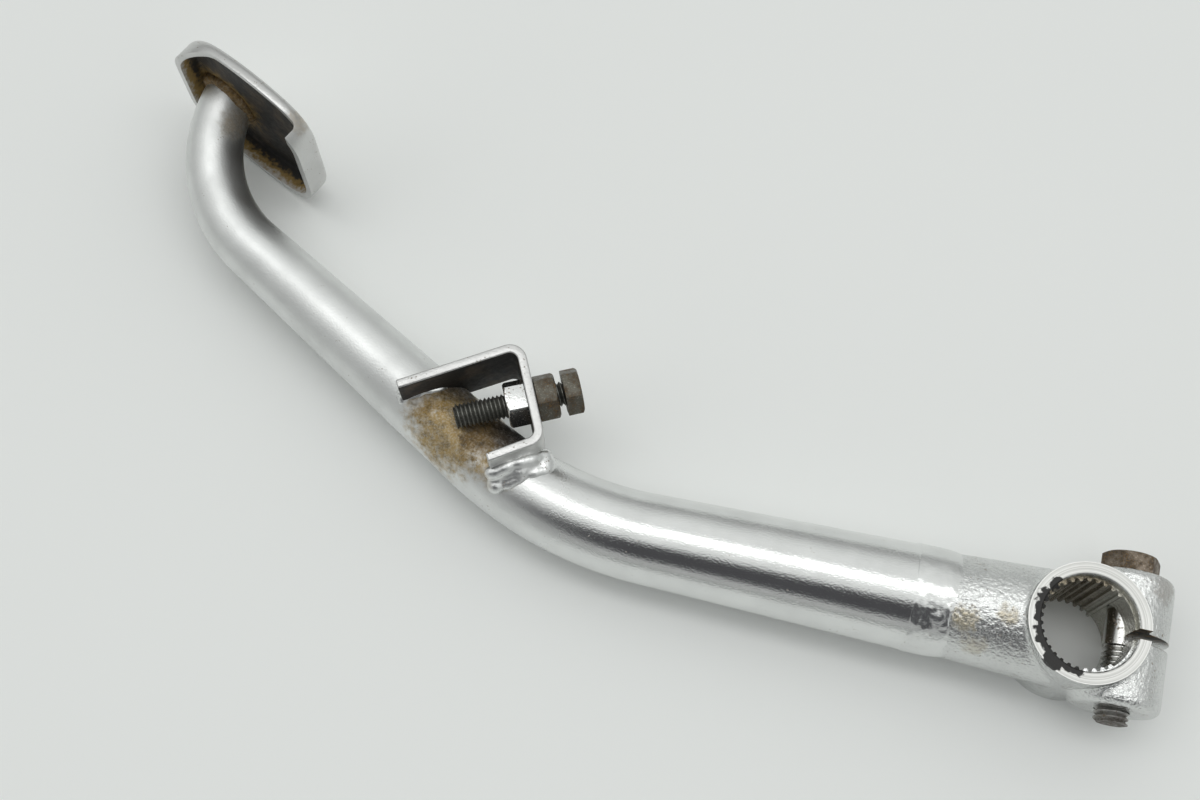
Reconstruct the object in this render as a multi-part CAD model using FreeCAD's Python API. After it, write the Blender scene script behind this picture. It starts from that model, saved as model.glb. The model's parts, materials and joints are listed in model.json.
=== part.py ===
"""Tubular motorcycle brake pedal, lying on its side as it rests on a table.

Frame: +Z is the axis of the splined bore, the origin is that axis on the hub's lower face,
and the arm leaves the hub along -X. All sizes are in millimetres and degrees.
"""
import FreeCAD
import Part

import math
import os

from FreeCAD import Vector

# Hub: a forged clamp with a splined bore, a slit and two lugs for the pinch bolt
HUB_HEIGHT = 28.0
HUB_OD = 28.0
SPLINE_TIP_D = 20.0
SPLINE_ROOT_D = 21.5
SPLINE_TEETH = 34
TOOTH_TIP_SHARE = 0.30
TOOTH_ROOT_SHARE = 0.34
PLAIN_SECTOR = 84.0
MOUTH_D = 22.2
MOUTH_DEPTH = 2.5
SLIT_WIDTH = 2.2
LUG_RADIUS = 10.6
LUG_SPAN = 32.0
LUG_EDGE_BEVEL = 2.0
NECK_D = 24.6
NECK_LENGTH = 30.0
NECK_ROOT_D = 27.8

# Pinch bolt, which crosses the edge of the bore
PINCH_D = 8.0
PINCH_OFFSET = 11.0
PINCH_LENGTH = 35.0
PINCH_SHANK = 17.0
PINCH_HEAD_AF = 12.0
PINCH_HEAD_HEIGHT = 5.0
PINCH_HOLE_CLEARANCE = 0.4
THREAD_CLEARANCE = 0.05
THREAD_RELIEF = 0.1

# Tube: conical, with a gentle bend in mid-arm and a tight one below the foot pad
TUBE_OD_HUB = 25.4
TUBE_OD_PAD = 12.8
TUBE_WALL = 2.0
HIDDEN_FACETS = 18
TUBE_START = 39.0
HUB_TO_BEND = 125.9
BEND_HEIGHT = 10.7
ARM_TURN = 29.57
BEND_TO_TOE = 130.3
TOE_RISE = 3.8
TOE_HEADING = 71.05
TOE_TO_PAD = 24.6
PAD_RISE = 3.8
ARM_BEND_RADIUS = 90.0
TOE_BEND_RADIUS = 34.0
ARM_BEND_STEPS = 3
TOE_BEND_STEPS = 6
SPIGOT_LENGTH = 6.0
SPIGOT_CLEARANCE = 0.3
HUB_WELD_CROWN = 0.2

# Foot pad: a pressed pan with a folded lip, shallower along its upper edge
PAD_LENGTH = 41.8
PAD_WIDTH = 44.0
PAD_BULGE = 5.5
PAD_OUTER_CORNER = 14.0
PAD_INNER_CORNER = 12.0
PAD_DEPTH = 7.2
PAD_SHEET = 1.8
PAD_EDGE_BEVEL = 1.6
PAD_UPPER_LIP = 3.0
PAD_LIP_FROM_OUTER = 2.5
PAD_LIP_SLOPE = 9.0
PAD_LIP_FROM_INNER = 3.0
PAD_LIP_STEP_RADIUS = 1.5
PAD_HEADING = -26.0
PAD_TILT = 1.0
PAD_TUBE_FROM_END = 10.0
PAD_TUBE_BELOW_MIDDLE = 3.9
PAD_WELD_LEG = 1.4

# Stop bracket: a folded strip on edge, coped to the tube
STRIP_THICKNESS = 2.2
STRIP_WIDTH = 20.0
STRIP_TOP = 30.5
STRIP_BEND_RADIUS = 2.0
FLANGE_HEADING = 32.0
LEG_HEADING = 26.0
TAB_HEADING = 34.0
LEG_LENGTH = 25.7
LEG_ABOVE_BOLT = 13.7
FLANGE_LENGTH = 31.5
TAB_LENGTH = 14.2
BEAD_POINT_SPACING = 0.5
BRACKET_WELD_RADIUS = 3.5
BRACKET_WELD_LENGTH = 15.0
TOE_WELD_RADIUS = 2.0
TOE_WELD_LENGTH = 11.0

# Stop bolt with its lock nut and the nut welded inside the bracket
STOP_D = 6.0
STOP_LENGTH = 26.5
STOP_HEAD_AF = 10.0
STOP_HEAD_HEIGHT = 4.0
STOP_NUT_AF = 10.0
STOP_NUT_HEIGHT = 5.0
STOP_GAP = 1.7
STOP_HOLE_CLEARANCE = 0.3
LOCK_NUT_CLEARANCE = 0.15
STOP_PAST_BEND = 8.7
STOP_ASIDE = 24.0
STOP_ABOVE_BEND = 14.3
HEX_CHAMFER = 30.0


def unit(vector):
    """A copy of the vector with length 1."""
    copy = Vector(vector)
    copy.normalize()
    return copy


def heading(degrees):
    """The level direction at this angle from +X."""
    angle = math.radians(degrees)
    return Vector(math.cos(angle), math.sin(angle), 0)


UP = Vector(0, 0, 1)
HUB_CENTRE = Vector(0, 0, HUB_HEIGHT / 2)
ARM_BEND = Vector(-HUB_TO_BEND, 0, BEND_HEIGHT)
ARM_AXIS = unit(ARM_BEND - HUB_CENTRE)
TOE_BEND = ARM_BEND + heading(180 - ARM_TURN) * BEND_TO_TOE + UP * TOE_RISE
PAD_SEAT = TOE_BEND + heading(TOE_HEADING) * TOE_TO_PAD + UP * PAD_RISE
STOP_CROSSING = ARM_BEND + Vector(-STOP_PAST_BEND, STOP_ASIDE, STOP_ABOVE_BEND)


def frame(origin, x_axis, z_axis):
    """The placement that takes local X and Z to these directions at this origin."""
    rotation = FreeCAD.Rotation(x_axis, z_axis.cross(x_axis), z_axis, "ZXY")
    return FreeCAD.Placement(origin, rotation)


def placed(shape, placement):
    """A copy of the shape moved from the local frame to its place."""
    copy = shape.copy()
    copy.Placement = placement.multiply(copy.Placement)
    return copy


def revolved(outline, axis_point, axis):
    """The solid of a closed outline turned once about an axis."""
    return Part.Face(outline).revolve(axis_point, axis, 360)


def box_between(low, high):
    """The box with these two opposite corners."""
    size = high - low
    return Part.makeBox(size.x, size.y, size.z, low)


def upright_edges(shape):
    """The straight edges that run along local Z."""
    return [e for e in shape.Edges if abs(abs(e.tangentAt(e.FirstParameter).z) - 1) < 1e-6]


def polygon_face(points):
    """The flat face inside a closed polygon."""
    return Part.Face(Part.makePolygon(points + points[:1]))


def prism(points, height):
    """A closed polygon in the local XY plane raised along Z."""
    return polygon_face(points).extrude(UP * height)


def hexagon(across_flats, height):
    """A hexagonal prism along Z from the origin, its corners chamfered at the top."""
    corner = across_flats / math.sqrt(3)
    points = [heading(60 * k) * corner for k in range(6)]
    flat = across_flats / 2
    drop = (corner - flat) * math.tan(math.radians(HEX_CHAMFER))
    profile = [
        Vector(0, 0, 0),
        Vector(corner, 0, 0),
        Vector(corner, 0, height - drop),
        Vector(flat, 0, height),
        Vector(0, 0, height),
    ]
    cap = revolved(Part.makePolygon(profile + profile[:1]), Vector(), UP)
    return prism(points, height).common(cap)


def hex_bolt(diameter, length, shank, head_af, head_height):
    """A bolt along -Z with its head standing on the XY plane; the thread is a plain cylinder."""
    head = hexagon(head_af, head_height)
    thread_radius = diameter / 2 - THREAD_RELIEF
    thread = Part.makeCylinder(thread_radius, length, Vector(), -UP)
    tip = [e for e in thread.Edges if e.BoundBox.ZMax < -length + 1e-6]
    bolt = head.fuse(thread.makeChamfer(diameter / 10, tip))
    if shank > 0:
        bolt = bolt.fuse(Part.makeCylinder(diameter / 2, shank, Vector(), -UP))
    return bolt.removeSplitter()


def hex_nut(diameter, across_flats, height):
    """A nut on the XY plane, chamfered on top, with a plain bore at the thread's outer size."""
    bore = Part.makeCylinder(diameter / 2 + THREAD_CLEARANCE, 3 * height, UP * -height)
    return hexagon(across_flats, height).cut(bore)


def bend_arc(corner, before, after, radius):
    """The arc that rounds a corner of the tube's path."""
    back = unit(before - corner)
    on = unit(after - corner)
    half = back.getAngle(on) / 2
    reach = radius / math.tan(half)
    middle = corner + unit(back + on) * (radius / math.sin(half) - radius)
    return Part.Arc(corner + back * reach, middle, corner + on * reach)


def ring(centre, way, radius, facets):
    """A circle across this direction, or a polygon about it, turned so that a loft doesn't twist."""
    outline = Part.Wire([Part.Circle(Vector(), UP, radius).toShape()])
    if facets:
        corners = [heading(360 * k / facets) * (radius / math.cos(math.pi / facets)) for k in range(facets)]
        outline = Part.makePolygon(corners + corners[:1])
    return placed(outline, frame(centre, unit(UP.cross(way)), way))


def tapered_loft(stations, facets=0):
    """The solid through rings given as (centre, direction, radius), straight from each to the next."""
    return Part.makeLoft([ring(*station, facets) for station in stations], True, True)


PAD_ALONG = heading(PAD_HEADING)
PAD_OUT = (
    heading(PAD_HEADING + 90) * math.cos(math.radians(PAD_TILT))
    - UP * math.sin(math.radians(PAD_TILT))
)
TUBE_START_POINT = HUB_CENTRE + ARM_AXIS * TUBE_START
TUBE_END_POINT = PAD_SEAT + unit(PAD_SEAT - TOE_BEND) * TUBE_OD_PAD


def tube_solid(inset, end_overrun, facets):
    """The solid inside the tube's surface, or inside that surface set in by a wall."""
    last_way = unit(TUBE_END_POINT - TOE_BEND)
    start = TUBE_START_POINT - ARM_AXIS * end_overrun
    end = TUBE_END_POINT + last_way * end_overrun
    arm = bend_arc(ARM_BEND, start, TOE_BEND, ARM_BEND_RADIUS)
    toe = bend_arc(TOE_BEND, ARM_BEND, end, TOE_BEND_RADIUS)
    path = [(start, ARM_AXIS)]
    for arc, steps in ((arm, ARM_BEND_STEPS), (toe, TOE_BEND_STEPS)):
        for k in range(steps + 1):
            angle = arc.FirstParameter + (arc.LastParameter - arc.FirstParameter) * k / steps
            path.append((arc.value(angle), unit(Vector(*arc.tangent(angle)[0]))))
    path.append((end, last_way))
    reached = [0.0]
    for (here, _), (there, _) in zip(path, path[1:]):
        reached.append(reached[-1] + here.distanceToPoint(there))
    taper = (TUBE_OD_PAD - TUBE_OD_HUB) / 2 / (reached[-1] - 2 * end_overrun)
    wide = TUBE_OD_HUB / 2 - inset - taper * end_overrun
    return tapered_loft([(at, way, wide + taper * run) for (at, way), run in zip(path, reached)], facets)


def pad_place():
    """The pad's frame on the plate's inner face: X along its length, Y down its width, Z out of the tread."""
    up_width = PAD_ALONG.cross(PAD_OUT)
    along = PAD_ALONG * (PAD_LENGTH / 2 - PAD_TUBE_FROM_END)
    return frame(PAD_SEAT + along + up_width * PAD_TUBE_BELOW_MIDDLE, PAD_ALONG, PAD_OUT)


def behind_pad():
    """Everything on the tread side of the plate's inner face, for trimming the tube and its weld."""
    reach = 2 * PAD_LENGTH
    return placed(box_between(Vector(-reach, -reach, 0), Vector(reach, reach, reach)), pad_place())


TUBE_OUTSIDE = tube_solid(0, 0, 0).cut(behind_pad())


def pedal_tube():
    """The bent conical tube, cut off flat against the pad; its inside, closed at both ends, is faceted."""
    return TUBE_OUTSIDE.cut(tube_solid(TUBE_WALL, TUBE_WALL, HIDDEN_FACETS))


SPIGOT_RADIUS = TUBE_OD_HUB / 2 - TUBE_WALL - SPIGOT_CLEARANCE


def arm_loft(sections, facets=0):
    """The solid through rings about the arm axis, given as (distance from the bore axis, radius)."""
    stations = [(HUB_CENTRE + ARM_AXIS * run, ARM_AXIS, radius) for run, radius in sections]
    return tapered_loft(stations, facets)


def hub_neck():
    """The tapered neck from inside the boss to the weld, with the spigot that enters the tube."""
    neck = arm_loft([(0, NECK_ROOT_D / 2), (NECK_LENGTH, NECK_D / 2)])
    spigot_end = TUBE_START + SPIGOT_LENGTH
    spigot = arm_loft([(0, SPIGOT_RADIUS), (spigot_end, SPIGOT_RADIUS)], HIDDEN_FACETS)
    return neck.fuse(spigot)


def hub_weld():
    """The wide dressed weld that fills the groove between the neck and the tube's end."""
    outside = TUBE_OD_HUB / 2 + HUB_WELD_CROWN
    return arm_loft([(NECK_LENGTH, outside), (TUBE_START, outside)]).cut(hub_neck())


def spline_cutter():
    """The bore's outline with its teeth, raised through the hub; the lug side has no teeth."""
    tip = SPLINE_TIP_D / 2
    root = SPLINE_ROOT_D / 2
    pitch = 360 / SPLINE_TEETH
    half_tip = pitch * TOOTH_TIP_SHARE / 2
    half_root = pitch * (1 - TOOTH_ROOT_SHARE) / 2
    toothed = [
        k * pitch
        for k in range(SPLINE_TEETH)
        if abs((k * pitch + 180) % 360 - 180) > PLAIN_SECTOR / 2 + half_root
    ]
    edges = []
    for k, middle in enumerate(toothed):
        corners = [
            heading(middle - half_root) * root,
            heading(middle - half_tip) * tip,
            heading(middle + half_tip) * tip,
            heading(middle + half_root) * root,
        ]
        edges += [Part.LineSegment(a, b).toShape() for a, b in zip(corners, corners[1:])]
        last = k == len(toothed) - 1
        following = toothed[0] + 360 if last else toothed[k + 1]
        valley_end = heading(following - half_root) * root
        if last:
            plain = heading((middle + following) / 2) * root
            edges.append(Part.Arc(corners[3], plain, valley_end).toShape())
        else:
            edges.append(Part.LineSegment(corners[3], valley_end).toShape())
    return Part.Face(Part.Wire(edges)).extrude(UP * HUB_HEIGHT)


def pinch_place():
    """The pinch bolt's frame: under the head on the far lug's face, shank towards the near lug."""
    seat = Vector(PINCH_OFFSET, LUG_SPAN / 2, HUB_HEIGHT / 2)
    return frame(seat, UP, Vector(0, 1, 0))


def clamp_hub():
    """The boss, neck and lugs in one forging, with bore, slit and pinch-bolt holes."""
    boss = Part.makeCylinder(HUB_OD / 2, HUB_HEIGHT)
    lug_start = Vector(PINCH_OFFSET, -LUG_SPAN / 2, HUB_HEIGHT / 2)
    lugs = Part.makeCylinder(LUG_RADIUS, LUG_SPAN, lug_start, Vector(0, 1, 0))
    lugs = lugs.makeChamfer(LUG_EDGE_BEVEL, [lugs.Edges[0], lugs.Edges[2]])
    body = boss.fuse([hub_neck(), lugs])
    bore = spline_cutter()
    mouth = Part.makeCylinder(MOUTH_D / 2, MOUTH_DEPTH, UP * (HUB_HEIGHT - MOUTH_DEPTH))
    slit_reach = PINCH_OFFSET + 2 * LUG_RADIUS
    slit = box_between(Vector(0, -SLIT_WIDTH / 2, 0), Vector(slit_reach, SLIT_WIDTH / 2, HUB_HEIGHT))
    clear = Part.makeCylinder(PINCH_D / 2 + PINCH_HOLE_CLEARANCE, LUG_SPAN / 2, Vector(), -UP)
    tapped = Part.makeCylinder(PINCH_D / 2 + THREAD_CLEARANCE, LUG_SPAN, Vector(), -UP)
    holes = placed(clear.fuse(tapped), pinch_place())
    return body.cut(bore).cut(mouth).cut(slit).cut(holes)


def pinch_bolt():
    """The hex bolt that closes the slit."""
    bolt = hex_bolt(PINCH_D, PINCH_LENGTH, PINCH_SHANK, PINCH_HEAD_AF, PINCH_HEAD_HEIGHT)
    return placed(bolt, pinch_place())


def pan_outline(inset):
    """The pad's outline as a prism of its full depth, set in by the sheet for its inside."""
    half = PAD_LENGTH / 2 - inset
    side = PAD_WIDTH / 2 - inset
    shoulder = side - PAD_BULGE
    upper = Part.Arc(Vector(-half, shoulder), Vector(0, side), Vector(half, shoulder)).toShape()
    lower = Part.Arc(Vector(half, -shoulder), Vector(0, -side), Vector(-half, -shoulder)).toShape()
    right = Part.LineSegment(Vector(half, shoulder), Vector(half, -shoulder)).toShape()
    left = Part.LineSegment(Vector(-half, -shoulder), Vector(-half, shoulder)).toShape()
    block = Part.Face(Part.Wire([upper, right, lower, left])).extrude(UP * (PAD_DEPTH - inset))
    outer = [e for e in upright_edges(block) if e.CenterOfMass.x < 0]
    block = block.makeFillet(PAD_OUTER_CORNER - inset, outer)
    inner = [e for e in upright_edges(block) if abs(e.CenterOfMass.x - half) < 1e-6]
    block = block.makeFillet(PAD_INNER_CORNER - inset, inner)
    top = PAD_DEPTH - inset
    rim = [e for e in block.Edges if e.BoundBox.ZMin > top - 1e-6]
    return block if inset else block.makeChamfer(PAD_EDGE_BEVEL, rim)


def foot_pad():
    """The pressed pan, open towards the tube, its upper lip cut back from a slope to a step."""
    pan = pan_outline(0).cut(pan_outline(PAD_SHEET))
    cut_depth = PAD_DEPTH - PAD_UPPER_LIP
    outer = PAD_LIP_FROM_OUTER - PAD_LENGTH / 2
    inner = PAD_LENGTH / 2 - PAD_LIP_FROM_INNER
    side = [
        Vector(outer, 0, -PAD_DEPTH),
        Vector(outer, 0, 0),
        Vector(outer + PAD_LIP_SLOPE, 0, cut_depth),
        Vector(inner, 0, cut_depth),
        Vector(inner, 0, -PAD_DEPTH),
    ]
    notch = polygon_face(side).extrude(Vector(0, -PAD_WIDTH, 0))
    step = side[3] - Vector(0, PAD_WIDTH / 2, 0)
    step_edges = [e for e in notch.Edges if e.CenterOfMass.distanceToPoint(step) < 1e-6]
    notch = notch.makeFillet(PAD_LIP_STEP_RADIUS, step_edges)
    pan = pan.cut(notch)
    pan.translate(UP * (PAD_SHEET - PAD_DEPTH))
    return placed(pan, pad_place())


def pad_weld():
    """The fillet weld round the tube's end on the plate."""
    tube = TUBE_OD_PAD / 2
    cone = Part.makeCone(tube + PAD_WELD_LEG, tube, PAD_WELD_LEG, PAD_SEAT, -PAD_OUT)
    return cone.cut(TUBE_OUTSIDE)


BOLT_OUT = heading(LEG_HEADING)


def strip_corners():
    """The bracket strip's outer face in plan: flange toe, two bends and tab toe."""
    down_leg = heading(LEG_HEADING - 90)
    upper_bend = STOP_CROSSING - down_leg * LEG_ABOVE_BOLT
    lower_bend = upper_bend + down_leg * LEG_LENGTH
    flange_toe = upper_bend - heading(FLANGE_HEADING) * FLANGE_LENGTH
    tab_toe = lower_bend - heading(TAB_HEADING) * TAB_LENGTH
    return [flange_toe, upper_bend, lower_bend, tab_toe]


def stop_bracket():
    """The folded strip with its bolt hole, its two toes coped over the tube."""
    corners = [Vector(p.x, p.y, STRIP_TOP - STRIP_WIDTH) for p in strip_corners()]
    spine = Part.makePolygon(corners)
    outline = spine.makeOffset2D(STRIP_THICKNESS, 2, True, True, False)
    strip = Part.Face(outline).extrude(UP * STRIP_WIDTH)

    def from_bend(edge):
        return min(edge.CenterOfMass.sub(c + UP * (STRIP_WIDTH / 2)).Length for c in corners[1:3])

    strip = strip.makeFillet(
        STRIP_BEND_RADIUS + STRIP_THICKNESS, [e for e in upright_edges(strip) if from_bend(e) < 0.01]
    )
    inside = [e for e in upright_edges(strip) if abs(from_bend(e) - 1.5 * STRIP_THICKNESS) < 0.5]
    strip = strip.makeFillet(STRIP_BEND_RADIUS, inside)
    hole = Part.makeCylinder(STOP_D / 2 + STOP_HOLE_CLEARANCE, 4 * STRIP_THICKNESS, Vector(), -UP)
    hole = placed(hole, stop_place(STRIP_THICKNESS))
    return strip.cut(hole).cut(TUBE_OUTSIDE)


def stop_place(distance):
    """The stop bolt's frame, its Z pointing out of the bracket, this far out from the leg's outer face."""
    return frame(STOP_CROSSING + BOLT_OUT * distance, UP, BOLT_OUT)


def bead_on_tube(toe, bend, radius, length):
    """A straight bead from the strip's toe, laid where one of its outer faces meets the tube."""
    low = UP * (STRIP_TOP - STRIP_WIDTH)
    high = UP * STRIP_TOP
    near = Vector(toe.x, toe.y, 0)
    far = Vector(bend.x, bend.y, 0)
    face = polygon_face([near + low, far + low, far + high, near + high])
    seam = Part.Wire(Part.__sortEdges__(face.section(TUBE_OUTSIDE).Edges))
    points = seam.discretize(Distance=BEAD_POINT_SPACING)
    if points[0].distanceToPoint(toe) > points[-1].distanceToPoint(toe):
        points.reverse()
    points = points[: 1 + round(length / BEAD_POINT_SPACING)]
    first = points[len(points) // 5]
    last = points[-1 - len(points) // 5]
    way = unit(last - first)
    start = (first + last - way * length) / 2
    return Part.makeCylinder(radius, length, start, way).cut(TUBE_OUTSIDE).cut(stop_bracket())


def bracket_weld():
    """The heavy bead along the tab."""
    corners = strip_corners()
    return bead_on_tube(corners[3], corners[2], BRACKET_WELD_RADIUS, BRACKET_WELD_LENGTH)


def toe_weld():
    """The lighter bead along the flange's toe."""
    corners = strip_corners()
    return bead_on_tube(corners[0], corners[1], TOE_WELD_RADIUS, TOE_WELD_LENGTH)


def weld_nut():
    """The nut welded inside the bracket's leg."""
    nut = hex_nut(STOP_D, STOP_NUT_AF, STOP_NUT_HEIGHT)
    inward = frame(STOP_CROSSING - BOLT_OUT * STRIP_THICKNESS, UP, -BOLT_OUT)
    return placed(nut, inward)


def lock_nut():
    """The nut that locks the stop bolt against the leg."""
    return placed(hex_nut(STOP_D, STOP_NUT_AF, STOP_NUT_HEIGHT), stop_place(LOCK_NUT_CLEARANCE))


def stop_bolt():
    """The adjuster, threaded up to its head."""
    bolt = hex_bolt(STOP_D, STOP_LENGTH, 0, STOP_HEAD_AF, STOP_HEAD_HEIGHT)
    return placed(bolt, stop_place(LOCK_NUT_CLEARANCE + STOP_NUT_HEIGHT + STOP_GAP))


if __name__ == "__main__":
    os.makedirs("parts", exist_ok=True)
    for make in (pedal_tube, clamp_hub, hub_weld, pinch_bolt, foot_pad, pad_weld,
                 stop_bracket, bracket_weld, toe_weld, weld_nut, lock_nut, stop_bolt):
        shape = make()
        print(make.__name__, shape.isValid(), len(shape.Solids), round(shape.Volume, 1))
        shape.exportStep("parts/" + make.__name__ + ".step")
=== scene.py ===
"""Dresses the packed brake pedal: smooth chromed pieces, real threads, welds, rust and a studio."""
import json
import math
from contextlib import contextmanager

import bmesh
import bpy
from bpy.props import FloatProperty, FloatVectorProperty, IntProperty, PointerProperty
from mathutils import Matrix, Quaternion, Vector, noise


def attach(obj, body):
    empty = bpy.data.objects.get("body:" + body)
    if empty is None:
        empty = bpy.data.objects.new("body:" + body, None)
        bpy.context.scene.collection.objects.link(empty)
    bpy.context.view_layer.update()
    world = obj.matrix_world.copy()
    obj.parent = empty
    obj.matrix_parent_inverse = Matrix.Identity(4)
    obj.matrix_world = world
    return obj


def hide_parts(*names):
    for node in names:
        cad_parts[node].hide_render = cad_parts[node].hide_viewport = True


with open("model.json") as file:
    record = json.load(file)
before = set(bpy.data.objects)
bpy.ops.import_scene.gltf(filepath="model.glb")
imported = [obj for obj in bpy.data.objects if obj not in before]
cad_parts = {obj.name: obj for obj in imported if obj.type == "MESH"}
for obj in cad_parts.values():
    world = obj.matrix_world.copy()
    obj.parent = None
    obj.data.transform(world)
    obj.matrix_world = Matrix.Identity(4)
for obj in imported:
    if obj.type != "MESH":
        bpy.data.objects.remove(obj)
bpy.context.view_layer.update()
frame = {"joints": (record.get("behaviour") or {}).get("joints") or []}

bl_info = {
    "name": "Brake Pedal",
    "version": (1, 0, 0),
    "blender": (4, 5, 0),
    "location": "View3D > Sidebar > Pedal",
    "description": "Builds a worn chromed brake pedal around its packed model",
    "category": "Object",
}

MM = 0.001
UP = Vector((0, 0, 1))
STOP_JOINT = next(j for j in frame["joints"] if j["name"] == "stop_bolt_adjust")
BOLT_OUT = Vector(STOP_JOINT["axis"]).normalized()
FULL_TURN = 2 * math.pi
HEX_CHAMFER = math.radians(30)
SHARP_FROM = math.radians(32)
CUT_SLACK = 1e-8
SAME_PLACE = 1e-7
NEARLY = 1e-6
MASK_SLACK = 0.00005
THREAD_SLACK = 0.00005
BOLT_SLACK = 0.0001
FINE_SIDES = 128
ROUND_SIDES = 96
DULLER_FROM = -0.105
DULLER_TO = -0.150
SHINE_LOST = {
    "gold_film": 0.3, "gold_stain": 0.6, "pale_rust": 0.55,
    "rust": 0.85, "dark_rust": 1.0, "grime_and_shade": 1.0,
}


def length(name, millimetres, words):
    """A size that the user can change, given in millimetres and kept in metres."""
    return FloatProperty(name=name, description=words, default=millimetres * MM, unit="LENGTH", precision=5)


def angle(name, degrees, words):
    """An angle that the user can change, given in degrees."""
    return FloatProperty(name=name, description=words, default=math.radians(degrees), subtype="ANGLE")


def place(name, millimetres, words):
    """A point in the part's frame, given in millimetres and kept in metres."""
    at = [c * MM for c in millimetres]
    return FloatVectorProperty(name=name, description=words, default=at, subtype="TRANSLATION", precision=5)


def direction(name, way, words):
    """A direction that the user can change."""
    return FloatVectorProperty(name=name, description=words, default=way, subtype="XYZ")


def colour(name, rgb, words):
    """A linear colour that the user can change."""
    return FloatVectorProperty(name=name, description=words, default=rgb, subtype="COLOR", min=0, max=1)


class PEDAL_PG_hub(bpy.types.PropertyGroup):
    """Sizes of the clamp hub and its pinch bolt."""
    diameter: length("Hub diameter", 28.0, "Outside of the boss")
    height: length("Hub height", 28.0, "Along the bore")
    tooth_tip: length("Tooth tip diameter", 20.0, "Across the tips of the serrations")
    tooth_root: length("Tooth root diameter", 21.5, "Across the roots of the serrations")
    teeth: IntProperty(name="Teeth", description="Serrations in a full turn", default=34)
    plain_sector: angle("Plain sector", 84.0, "Part of the bore on the lug side that has no teeth")
    mouth: length("Mouth diameter", 22.2, "Plain counterbore under the ring face")
    mouth_depth: length("Mouth depth", 2.5, "Depth of the counterbore")
    slit: length("Slit", 2.2, "Width of the clamping slit")
    lug_radius: length("Lug radius", 10.6, "Round end of the lugs")
    lug_span: length("Lug span", 32.0, "Across both lugs")
    neck: length("Neck diameter", 24.6, "Neck at the weld")
    neck_root: length("Neck root diameter", 27.8, "Neck where it runs into the boss")
    neck_length: length("Neck length", 30.0, "From the bore axis to the weld")
    pinch_offset: length("Pinch offset", 11.0, "From the bore axis to the pinch bolt")
    pinch: length("Pinch bolt diameter", 8.0, "Thread size")
    pinch_pitch: length("Pinch bolt pitch", 1.25, "Thread pitch")
    pinch_length: length("Pinch bolt length", 35.0, "Under the head")
    pinch_shank: length("Pinch bolt shank", 17.0, "Plain length under the head")
    pinch_flats: length("Pinch bolt flats", 12.0, "Across the flats of the head")
    pinch_head: length("Pinch bolt head", 5.0, "Height of the head")


class PEDAL_PG_tube(bpy.types.PropertyGroup):
    """The bent conical tube."""
    hub_end: length("Diameter at the hub", 25.4, "Outside of the tube's wide end")
    pad_end: length("Diameter at the pad", 12.8, "Outside of the tube's narrow end")
    start: length("Tube start", 39.0, "From the bore axis to the tube's wide end")
    hub_to_bend: length("Hub to bend", 125.9, "From the bore axis to the corner in mid-arm")
    bend_height: length("Bend height", 10.7, "Height of that corner")
    arm_turn: angle("Arm turn", 29.57, "Turn of the arm at the bend, seen from above")
    bend_to_toe: length("Bend to toe", 130.3, "From the corner in mid-arm to the one below the pad")
    toe_rise: length("Toe rise", 3.8, "Rise over that length")
    toe_heading: angle("Toe heading", 71.05, "Direction of the last run")
    toe_to_pad: length("Toe to pad", 24.6, "From the last corner to the plate")
    pad_rise: length("Pad rise", 3.8, "Rise over that length")
    arm_radius: length("Arm bend radius", 90.0, "Radius of the gentle bend")
    toe_radius: length("Toe bend radius", 34.0, "Radius of the tight bend")
    weld_crown: length("Hub weld crown", 0.2, "How far the hub weld stands over the tube")


class PEDAL_PG_pad(bpy.types.PropertyGroup):
    """The pressed foot pad."""
    length: length("Pad length", 41.8, "Along the pad")
    width: length("Pad width", 43.98, "Across the pad")
    bulge: length("Side bulge", 5.5, "Rise of the long sides' arcs")
    outer_corner: length("Outer corner", 14.0, "Corner radius at the free end")
    inner_corner: length("Inner corner", 12.0, "Corner radius at the end over the arm")
    depth: length("Depth", 7.2, "From the tread to the lip's edge")
    sheet: length("Sheet", 1.8, "Thickness of the metal")
    edge: length("Edge radius", 2.4, "Rounding between tread and lip")
    upper_lip: length("Upper lip", 3.0, "Depth of the lip where it is cut back")
    lip_outer: length("Lip cut, outer", 2.5, "From the free end to the start of the cut")
    lip_slope: length("Lip slope", 9.0, "Length over which the cut reaches its depth")
    lip_inner: length("Lip step, inner", 3.0, "From the other end to the step in the lip")
    heading: angle("Heading", -26.0, "Direction of the pad's length")
    tilt: angle("Tilt", 1.0, "Lean of the tread")
    from_end: length("Tube from end", 10.0, "From the free end to the tube's axis")
    below_middle: length("Tube below middle", 3.9, "From the pad's middle down to the tube's axis")
    weld: length("Weld leg", 1.4, "Size of the bead round the tube")


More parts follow.
